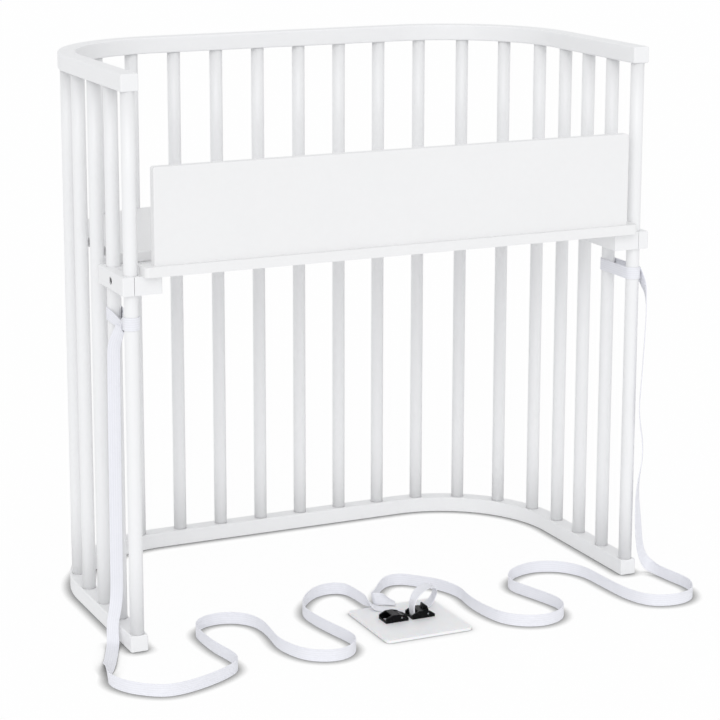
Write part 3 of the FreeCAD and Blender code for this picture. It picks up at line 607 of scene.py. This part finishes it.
LEFT_STRAP = [
    (-442, 56, 508, (-0.3, 0.9, 0.3)), (-446, 57, 494, (-0.6, 0.8, 0.2)),
    (-450, 65, 477, (-0.9, 0.5, 0)),
    (-450, 69, 455, (-0.91, 0.41, 0)), (-450.5, 73, 125, (-0.91, 0.41, 0)),
    (-451, 72, 78, (-0.91, 0.41, 0)), (-457, 64, 52, (-0.85, 0.53, 0)),
    (-466.5, 53, 30, (-0.75, 0.66, 0)), (-467.5, 46, 7, (-0.8, 0.6, 0)),
    (-474, 31, 1.6, (-0.93, 0.37, 0)), (-485, 4, 1.5, (-0.93, 0.37, 0)),
    (-496, -22, 1.9, (-0.93, 0.37, 0)), (-508, -50, 6.6, (-0.86, 0.3, 0.4)),
    (-519, -78, 11, (-0.3, 0.1, 0.95)), (-530, -110, 10.6, UPRIGHT), (-516, -148, 10.2, UPRIGHT),
    (-488, -176, 10, UPRIGHT), (-461, -190, 10, UPRIGHT), (-430, -187, 10, UPRIGHT),
    (-392, -175, 10, UPRIGHT), (-350, -154, 10, UPRIGHT), (-327, -132, 10, UPRIGHT),
    (-326, -100, 10, UPRIGHT), (-336, -56, 10, UPRIGHT), (-339, -6, 10, UPRIGHT),
    (-337, 34, 10, UPRIGHT), (-316, 58, 10, UPRIGHT), (-288, 65, 10, UPRIGHT),
    (-260, 58, 10, UPRIGHT), (-239, 36, 10, UPRIGHT), (-232, 4, 10, UPRIGHT),
    (-235, -36, 10, UPRIGHT), (-240, -70, 10, UPRIGHT), (-235, -104, 10, UPRIGHT),
    (-221, -138, 10, UPRIGHT), (-196, -157, 10, UPRIGHT), (-169, -162, 10, UPRIGHT),
    (-143, -149, 10, UPRIGHT), (-127, -124, 10, UPRIGHT), (-128, -94, 10, UPRIGHT),
    (-139, -48, 10, UPRIGHT), (-147, 0, 10, UPRIGHT), (-148, 42, 10, UPRIGHT),
    (-125, 85, 10, UPRIGHT), (-92, 116, 10, UPRIGHT), (-60, 122, 10, UPRIGHT),
    (-41, 109, 10, UPRIGHT), (-37, 84, 10.2, UPRIGHT), (-36, 58, 10.6, UPRIGHT),
    (-36, 38, 12, (-0.1, 0, 1)), (-34, 22, 12.6, (-0.7, 0, 0.7)), (-29, 9, 6.9, (-0.95, -0.5, 0)),
    (-19, -1, 5.8, (-0.8, -0.7, 0)), (-9, -9, 5.6, (-0.85, -0.55, 0)),
    (-2.5, -18, 5.5, (-1, 0, 0)), (-2, -27.6, 5.5, (-1, 0, 0)),
]

RIGHT_STRAP = [
    (454.6, 20, 526, (0, 1, -1)), (458, 6, 508, (0, 1, -1)), (462, 0, 478, (0.53, 0.85, 0)),
    (461, 0, 425, (0.53, 0.85, 0)), (456, 0, 335, (0.53, 0.85, 0)),
    (452, 0, 282, (0.53, 0.85, 0)), (465.5, 0, 214, (0.53, 0.85, 0)),
    (452.5, 0, 155, (0.65, 0.76, 0)), (456.5, 0, 90, (0.9, 0.44, 0)),
    (463, 2, 40, (0.9, 0.44, 0)), (474, -2, 16, (0.7, 0.2, 0.7)), (482, -20, 10, UPRIGHT),
    (485, -52, 10, UPRIGHT), (494, -104, 10, UPRIGHT), (482, -135, 10, UPRIGHT),
    (468, -152, 10, UPRIGHT), (445, -162, 10, UPRIGHT), (416, -161, 10, UPRIGHT),
    (389, -147, 10, UPRIGHT), (374, -114, 10, UPRIGHT), (369, -72, 10, UPRIGHT),
    (367, -26, 10, UPRIGHT), (365, 18, 10, UPRIGHT), (347, 53, 10, UPRIGHT),
    (321, 71, 10, UPRIGHT), (289, 77, 10, UPRIGHT), (252, 64, 10, UPRIGHT),
    (228, 40, 10, UPRIGHT), (217, 10, 10, UPRIGHT), (227, -22, 10, UPRIGHT),
    (240, -64, 10, UPRIGHT), (249, -103, 10, UPRIGHT), (238, -135, 10, UPRIGHT),
    (215, -153, 10, UPRIGHT), (185, -159, 10, UPRIGHT), (154, -147, 10, UPRIGHT),
    (131, -122, 10, UPRIGHT), (122, -84, 10, UPRIGHT), (119, -50, 10, UPRIGHT),
    (120, -20, 10, UPRIGHT), (125, 15, 10, UPRIGHT), (117, 49, 10, UPRIGHT),
    (104, 73, 10, UPRIGHT), (82, 97, 10, UPRIGHT), (68, 112, 10, UPRIGHT), (52, 117, 10, UPRIGHT),
    (36, 113, 10, UPRIGHT), (20, 99, 10, UPRIGHT), (1, 74, 10.2, UPRIGHT),
    (-12, 54, 11, (-0.1, 0, 1)), (-27, 36, 13.6, (-0.2, 0.1, 1)),
    (-13, 29, 14.8, (0.1, 0.5, 0.85)), (0, 24, 9, (0.3, 0.9, 0.15)), (9, 20, 6, (0.35, 0.93, 0)),
]

BUCKLE_LOOP = [
    (10, -43, 5.5, (0, 1, 0)), (7, -43, 20, (0, 1, 0)), (11, -42, 33, (0, 1, 0)),
    (24, -34, 42.5, (-0.03, 1, 0.05)), (44, -21, 44.5, (0, 1, 0)), (62, -11, 39, (0.1, 1, 0)),
    (69, -6, 27, (0.15, 1, 0)), (65, -4, 15, (0.15, 1, 0)), (56, -6, 6.5, (-0.1, 1, 0)),
    (45, -10, 5.6, (-0.3, 0.95, 0)),
]


# ---- webbing ----
# Half of the band's section: how far across, and how thick there, as shares of the half sizes.
BAND_SECTION = [(-1, 0), (-0.975, 0.7), (-0.91, 1), (-0.8, 0.84), (-0.4, 0.9), (0, 0.92),
                (0.4, 0.9), (0.8, 0.84), (0.91, 1), (0.975, 0.7), (1, 0)]


def smooth_points(places):
    """Points along the smooth curve that has these places as its control points."""
    curve = bpy.data.curves.new("route", "CURVE")
    curve.dimensions = "3D"
    spline = curve.splines.new("NURBS")
    spline.points.add(len(places) - 1)
    for control, place in zip(spline.points, places):
        control.co = (*place, 1)
    spline.order_u = 3
    spline.use_endpoint_u = True
    spline.resolution_u = 10
    holder = bpy.data.objects.new("route", curve)
    mesh = bpy.data.meshes.new_from_object(holder)
    found = [vertex.co.copy() for vertex in mesh.vertices]
    bpy.data.objects.remove(holder)
    bpy.data.curves.remove(curve)
    bpy.data.meshes.remove(mesh)
    return found


def band_mesh(name, centres, wides, closed=False, spread=None):
    """Webbing round a list of centres; wides gives its width direction at each.

    spread gives how wide the band is at each centre, as a share of its full width.
    """
    sizes = bpy.context.scene.crib_sizes
    half_width, half_thick = sizes.webbing_width / 2, sizes.webbing_thickness / 2
    count = len(centres)
    section = BAND_SECTION + [(across, -thick) for across, thick in BAND_SECTION[-2:0:-1]]
    mesh = bpy.data.meshes.new(name)
    work = bmesh.new()
    uv = work.loops.layers.uv.new("webbing")
    rings, run, along = [], 0.0, []
    for index, centre in enumerate(centres):
        before = centres[index - 1] if index or closed else centre
        after = centres[(index + 1) % count] if index + 1 < count or closed else centre
        heading = (after - before).normalized()
        across = (wides[index] - heading * wides[index].dot(heading)).normalized()
        through = heading.cross(across)
        share = spread[index] if spread else 1.0
        rings.append([work.verts.new(centre + across * (half_width * share * place)
                                     + through * (half_thick * thick / share ** 0.5))
                      for place, thick in section])
        if index:
            run += (centre - centres[index - 1]).length
        along.append(run)
    if closed:
        rings.append(rings[0])
        along.append(run + (centres[0] - centres[-1]).length)
    for index in range(len(rings) - 1):
        for side in range(len(section)):
            other = (side + 1) % len(section)
            face = work.faces.new((rings[index][side], rings[index][other],
                                   rings[index + 1][other], rings[index + 1][side]))
            face.smooth = True
            spots = ((side, index), (other, index), (other, index + 1), (side, index + 1))
            for loop, (place, ring) in zip(face.loops, spots):
                loop[uv].uv = ((section[place][0] + 1) * half_width, along[ring])
    if not closed:
        work.faces.new(rings[0][::-1])
        work.faces.new(rings[-1])
    bmesh.ops.recalc_face_normals(work, faces=work.faces)
    work.to_mesh(mesh)
    work.free()
    return mesh


def strap(name, route, node):
    """A strap along its route, as a flat band of webbing."""
    places = [Vector((x * MM, rail_front + y * MM, z * MM)) for x, y, z, wide in route]
    centres = smooth_points(places)
    wides = smooth_points([Vector(wide).normalized() for x, y, z, wide in route])
    piece = add_piece(name, band_mesh(name, centres, wides), "webbing", "root")
    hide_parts(node)
    length = sum((after - before).length for before, after in zip(centres, centres[1:]))
    return centres, wides, length


def loop_round(name, node, first, second, middle_z, pinch=0.0, droop=0.0):
    """The band round a post and the slat behind it.

    A pinch draws its two runs together midway, and droop lowers them there.
    """
    sizes = bpy.context.scene.crib_sizes
    radius = slat_radius + LOOP_GAP + sizes.webbing_thickness / 2
    run = second.y - first.y
    centres = []
    for bar, side in ((first, -1), (second, 1)):
        start = math.pi if side < 0 else 0.0
        for step in range(LOOP_TURN_STEPS + 1):
            angle = start + math.pi * step / LOOP_TURN_STEPS
            centres.append(Vector((bar.x + radius * math.cos(angle),
                                   bar.y + radius * math.sin(angle), middle_z)))
        for step in range(1, LOOP_RUN_STEPS):
            drawn = math.sin(math.pi * step / LOOP_RUN_STEPS) ** 2
            centres.append(Vector((bar.x - side * radius * (1 - pinch * drawn),
                                   bar.y - side * run * step / LOOP_RUN_STEPS,
                                   middle_z - droop * drawn)))
    wides = [Vector((0, 0, 1))] * len(centres)
    gathered = [1 - LOOP_GATHER * pinch * (middle_z - centre.z) / droop if droop else 1.0
                for centre in centres]
    piece = add_piece(name, band_mesh(name, centres, wides, True, gathered), "webbing", "root")
    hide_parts(node)


def knot_round(name, middle):
    """A short turn of webbing that ties the two runs of a loop together."""
    angles = [2 * math.pi * step / KNOT_STEPS for step in range(KNOT_STEPS)]
    centres = [middle + Vector((KNOT_HALF_ACROSS * math.cos(angle), 0,
                                KNOT_HALF_HIGH * math.sin(angle))) for angle in angles]
    mesh = band_mesh(name, centres, [KNOT_WIDE] * KNOT_STEPS, True, [KNOT_SHARE] * KNOT_STEPS)
    add_piece(name, mesh, "webbing", "root")


def spot_on_strap(centres, wides, run, across):
    """The place at run along a strap and across from its middle, and both directions there."""
    index = 0
    while index < len(centres) - 2 and run > (centres[index + 1] - centres[index]).length:
        run -= (centres[index + 1] - centres[index]).length
        index += 1
    ahead = (centres[index + 1] - centres[index]).normalized()
    wide = (wides[index] - ahead * wides[index].dot(ahead)).normalized()
    return centres[index] + ahead * run + wide * across, ahead, wide


def sewn_box(centres, wides, first, last):
    """Places and headings of the stitches of a crossed box, on both faces of a strap.

    The box runs from first to last, in metres along the strap.
    """
    sizes = bpy.context.scene.crib_sizes
    edge = SEWN_EDGE * sizes.webbing_width
    lift = sizes.webbing_thickness / 2 + STITCH_LIFT
    corners = [(first, -edge), (last, -edge), (last, edge), (first, edge), (first, -edge),
               (last, edge), (first, edge), (last, -edge)]
    spots, headings = [], []
    for (run, across), (next_run, next_across) in zip(corners, corners[1:]):
        forward, sideways = next_run - run, next_across - across
        stitches = round(math.hypot(forward, sideways) / sizes.stitch_pitch)
        for number in range(stitches):
            share = (number + 0.5) / stitches
            place, ahead, wide = spot_on_strap(centres, wides, run + forward * share,
                                               across + sideways * share)
            for side in (-lift, lift):
                spots.append(place + ahead.cross(wide) * side)
                headings.append(ahead * forward + wide * sideways)
    return spots, headings


def rib_spots(node, pivot_x, opening):
    """Where the grip ribs lie on the top face of a lever that is open by so many degrees."""
    ribs = bpy.context.scene.crib_sizes.lever_ribs
    (near, near_height), (far, far_height) = LEVER_TOP
    turn = math.radians(opening)
    spots = []
    for number in range(ribs):
        share = RIBS_FROM + (RIBS_TO - RIBS_FROM) * number / (ribs - 1)
        along = near + (far - near) * share
        above = near_height + (far_height - near_height) * share
        spots.append(Vector((
            (pivot_x + along * math.cos(turn) - above * math.sin(turn)) * MM,
            middle_of(node).y,
            (LEVER_PIVOT_HEIGHT + along * math.sin(turn) + above * math.cos(turn)) * MM)))
    return spots


# ---- operators: one for each group of pieces, and one for the stage ----
class CRIB_OT_rails(bpy.types.Operator):
    """Finish the three parts of each rail and the dowels across their joints"""

    bl_idname = "crib.rails"
    bl_label = "Rails"

    def execute(self, context):
        for place in ("top_rail_", "bottom_rail_"):
            softened(place + "back", "lacquer_along_x", "root")
            for side in ("left_bend", "right_bend"):
                softened(place + side, "lacquer_along_y", "root")
        paint("rail_joint_dowels", "beech")
        return {"FINISHED"}


class CRIB_OT_slats(bpy.types.Operator):
    """Make the posts and slats between the rails"""

    bl_idname = "crib.slats"
    bl_label = "Posts and slats"

    def execute(self, context):
        tree = bar_tree()
        sides = [(-centre_x, rail_front, 0), (-centre_x, centre_back, 0), (0, centre_back, 0),
                 (centre_x, rail_front, 0), (centre_x, centre_back, 0), (0, centre_back, 0)]
        values = {
            "Bend Radius": bend_radius, "Setback": post_middle.y - rail_front,
            "Pitch": slat_pitch, "Bars": bend_slats + 1, "Radius": slat_radius,
            "Low": low("slat_01").z, "High": high("slat_01").z,
            "Material": finish("lacquer_along_z")}
        bends = add_piece("posts_and_bend_slats", grown(
            "bend_bars", sides, [(0, 1), (1, 2), (3, 4), (4, 5)], tree, values),
            "lacquer_along_z", "root")
        names = ["slat_%02d" % number for number in range(1, 2 * bend_slats + back_slats + 1)]
        back_names = names[bend_slats:-bend_slats]
        first, second = middle_of(back_names[0]), middle_of(back_names[1])
        values.update({"Setback": 0.0, "Pitch": second.x - first.x, "Bars": back_slats})
        backs = add_piece("back_slats", grown(
            "back_bars", [(first.x, centre_back, 0), (joint_x, centre_back, 0)], [(0, 1)],
            tree, values), "lacquer_along_z", "root")
        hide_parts("front_post_left", "front_post_right", *names[:bend_slats],
                    *names[-bend_slats:])
        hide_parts(*back_names)
        return {"FINISHED"}


class CRIB_OT_clamps(bpy.types.Operator):
    """Finish the clamps, their bolts and their barrel nuts"""

    bl_idname = "crib.clamps"
    bl_label = "Clamps"

    def execute(self, context):
        for row, grain in (("front", "lacquer_along_y"), ("rear", "lacquer_along_x")):
            for block in ("inner", "outer"):
                for side in ("left", "right"):
                    softened("%s_clamp_%s_%s" % (row, block, side), grain, "bed")
        # The bolts' blackened steel is darkened further as painted shade in their holes.
        paint("clamp_bolts", "dark_steel")
        paint("clamp_nuts", "zinc_steel")
        return {"FINISHED"}


class CRIB_OT_bed(bpy.types.Operator):
    """Finish the bed board, its beam, the ledge and the front panel"""

    bl_idname = "crib.bed"
    bl_label = "Bed and front"

    def execute(self, context):
        for node in ("bed_board", "ledge_board", "front_panel"):
            softened(node, "lacquered_board", "bed")
        softened("cross_beam", "lacquer_along_x", "bed")
        paint("beam_dowels", "beech")
        spots, headings = [], []
        for node, up in (("board_screws", 1), ("ledge_screws", 1), ("panel_screws", -1)):
            paint(node, "zinc_steel")
            head_z = high(node).z if up > 0 else low(node).z
            for middle in loose_middles(node):
                spots.append(Vector((middle.x, middle.y, head_z)))
                headings.append(Vector((0, 0, up)))
        # Painted shade: a thin dark plate over each screw head stands for the shade inside its
        # cross recess.
        mesh = copied("screw_recesses", spots, headings, cross_mesh(), "dark_steel")
        add_piece("screw_recesses", mesh, "dark_steel", "bed")
        return {"FINISHED"}


class CRIB_OT_anchor(bpy.types.Operator):
    """Finish the anchor plate and the two buckles that lie on it"""

    bl_idname = "crib.anchor"
    bl_label = "Anchor plate and buckles"

    def execute(self, context):
        softened("anchor_plate", "plate_plastic", "root")
        for side in ("left", "right"):
            softened("buckle_%s_frame" % side, "black_plastic", "root")
            softened("buckle_%s_lever" % side, "black_plastic", side + "_lever")
        # The pins' steel is painted darker for the shade they sit in.
        paint("buckle_pins", "pin_steel")
        for side, pivot_x, opening in LEVER_PIVOTS:
            node, name = "buckle_%s_lever" % side, side + "_lever_ribs"
            spots = rib_spots(node, pivot_x, opening)
            half_length = (high(node).y - low(node).y) / 2 - RIB_END_GAP
            mesh = copied(name, spots, [Vector((0, 1, 0))] * len(spots),
                          rounded_pin("rib", RIB_RADIUS, half_length), "black_plastic")
            add_piece(name, mesh, "black_plastic", side + "_lever")
        return {"FINISHED"}


class CRIB_OT_webbing(bpy.types.Operator):
    """Make the two loops and the straps that run from them to the anchor plate"""

    bl_idname = "crib.webbing"
    bl_label = "Webbing"

    def execute(self, context):
        for side, slat, pinch, droop in (("left", "slat_01", LOOP_PINCH, LOOP_DROOP),
                                         ("right", "slat_20", 0.0, 0.0)):
            node = "strap_loop_" + side
            loop_round("webbing_loop_" + side, node, middle_of("front_post_" + side),
                       middle_of(slat), middle_of(node).z, pinch, droop)
            if droop:
                middle = (middle_of("front_post_" + side) + middle_of(slat)) / 2
                middle.z = middle_of(node).z - droop
                knot_round("webbing_knot_left", middle)
        strap("webbing_left", LEFT_STRAP, "strap_left")
        centres, wides, length = strap("webbing_right", RIGHT_STRAP, "strap_right")
        strap("webbing_buckle_right", BUCKLE_LOOP, "buckle_loop_right")
        spots, headings = [], []
        ends = (SEWN_AT_START, [length - from_end for from_end in SEWN_AT_END])
        for first, last in ends:
            found = sewn_box(centres, wides, first, last)
            spots += found[0]
            headings += found[1]
        stitch = rounded_pin("stitch", STITCH_RADIUS,
                             STITCH_SHARE * context.scene.crib_sizes.stitch_pitch)
        mesh = copied("strap_stitches", spots, headings, stitch, "sewing_thread")
        add_piece("strap_stitches", mesh, "sewing_thread", "root")
        return {"FINISHED"}


class CRIB_OT_stage(bpy.types.Operator):
    """Set the pale floor with its painted contact shadow, the light and the camera"""

    bl_idname = "crib.stage"
    bl_label = "Stage"

    def execute(self, context):
        scene = context.scene
        look = scene.crib_stage
        scene.view_settings.view_transform = "Standard"

        world = bpy.data.worlds.new("even light")
        scene.world = world
        world.use_nodes = True
        tree = world.node_tree
        tree.nodes.clear()
        sky = put(tree, "ShaderNodeBackground", {"Strength": look.sky_strength})
        sky.inputs[0].default_value = SKY_COLOUR
        white = put(tree, "ShaderNodeBackground", {"Strength": 1.0})
        white.inputs[0].default_value = (1, 1, 1, 1)
        seen = put(tree, "ShaderNodeLightPath")
        straight = maths(tree, "MAXIMUM", seen.outputs["Is Camera Ray"],
                         seen.outputs["Is Transmission Ray"])
        mix = put(tree, "ShaderNodeMixShader", {0: straight, 1: sky.outputs[0],
                                                2: white.outputs[0]})
        put(tree, "ShaderNodeOutputWorld", {0: mix.outputs[0]})

        mesh = bpy.data.meshes.new("floor")
        corners = [(-1, -1), (1, -1), (1, 1), (-1, 1)]
        mesh.from_pydata([(x * FLOOR_REACH, y * FLOOR_REACH, 0) for x, y in corners], [],
                         [(0, 1, 2, 3)])
        material, tree, shader = new_finish("floor")
        shader.inputs["Base Color"].default_value = (*scene.crib_colours.floor, 1)
        shader.inputs["Roughness"].default_value = 0.9
        shader.inputs["Specular IOR Level"].default_value = 0.1
        # Painted contact shadow: ambient occlusion near each piece darkens the floor's glow that
        # the camera sees, a shadow that no lamp casts.
        near = put(tree, "ShaderNodeAmbientOcclusion", {"Distance": look.painted_shadow_reach},
                   samples=8).outputs["AO"]
        painted_contact_shadow = maths(tree, "POWER", near, look.painted_shadow_depth)
        pale = put(tree, "ShaderNodeEmission", {"Strength": painted_contact_shadow})
        seen = put(tree, "ShaderNodeLightPath")
        straight = maths(tree, "MULTIPLY", seen.outputs["Is Camera Ray"], look.floor_glow)
        both = put(tree, "ShaderNodeMixShader", {0: straight, 1: shader.outputs[0],
                                                 2: pale.outputs[0]})
        output = next(node for node in tree.nodes if node.type == "OUTPUT_MATERIAL")
        tree.links.new(both.outputs[0], output.inputs[0])
        mesh.materials.append(material)
        floor = bpy.data.objects.new("floor", mesh)
        scene.collection.objects.link(floor)

        lamp = bpy.data.lights.new("key", "SUN")
        lamp.energy = look.key_strength
        lamp.angle = LAMP_SPREAD
        key = bpy.data.objects.new("key", lamp)
        scene.collection.objects.link(key)
        key.rotation_euler = LAMP_DIRECTION.to_track_quat("-Z", "Y").to_euler()

        lens = bpy.data.cameras.new("camera")
        lens.sensor_width = 36
        lens.lens = look.lens
        lens.shift_x, lens.shift_y = CAMERA_SHIFT
        lens.clip_end = 100
        camera = bpy.data.objects.new("camera", lens)
        scene.collection.objects.link(camera)
        camera.location = CAMERA_PLACE
        camera.rotation_euler = (math.pi / 2 - CAMERA_DOWN, 0, CAMERA_TURN)
        scene.camera = camera
        return {"FINISHED"}


class CRIB_PT_sidebar(bpy.types.Panel):
    """Lists the crib's settings and the operators that build it"""

    bl_idname = "CRIB_PT_sidebar"
    bl_label = "Bedside sleeper crib"
    bl_space_type = "VIEW_3D"
    bl_region_type = "UI"
    bl_category = "Crib"

    def draw(self, context):
        layout = self.layout
        for group in (context.scene.crib_sizes, context.scene.crib_colours,
                      context.scene.crib_stage):
            box = layout.box()
            for name in type(group).__annotations__:
                box.prop(group, name)
        for operator in OPERATORS:
            layout.operator(operator.bl_idname)


GROUPS = (("crib_sizes", CribSizes), ("crib_colours", CribColours), ("crib_stage", CribStage))
OPERATORS = (CRIB_OT_stage, CRIB_OT_anchor, CRIB_OT_webbing, CRIB_OT_rails, CRIB_OT_slats,
             CRIB_OT_clamps, CRIB_OT_bed)


def register():
    for name, group in GROUPS:
        bpy.utils.register_class(group)
        setattr(bpy.types.Scene, name, PointerProperty(type=group))
    for kind in (*OPERATORS, CRIB_PT_sidebar):
        bpy.utils.register_class(kind)


def unregister():
    for kind in (CRIB_PT_sidebar, *reversed(OPERATORS)):
        bpy.utils.unregister_class(kind)
    for name, group in reversed(GROUPS):
        delattr(bpy.types.Scene, name)
        bpy.utils.unregister_class(group)


def main():
    register()
    bpy.ops.crib.stage()
    bpy.ops.crib.anchor()
    bpy.ops.crib.webbing()
    bpy.ops.crib.rails()
    bpy.ops.crib.slats()
    bpy.ops.crib.clamps()
    bpy.ops.crib.bed()


if __name__ == "__main__":
    main()
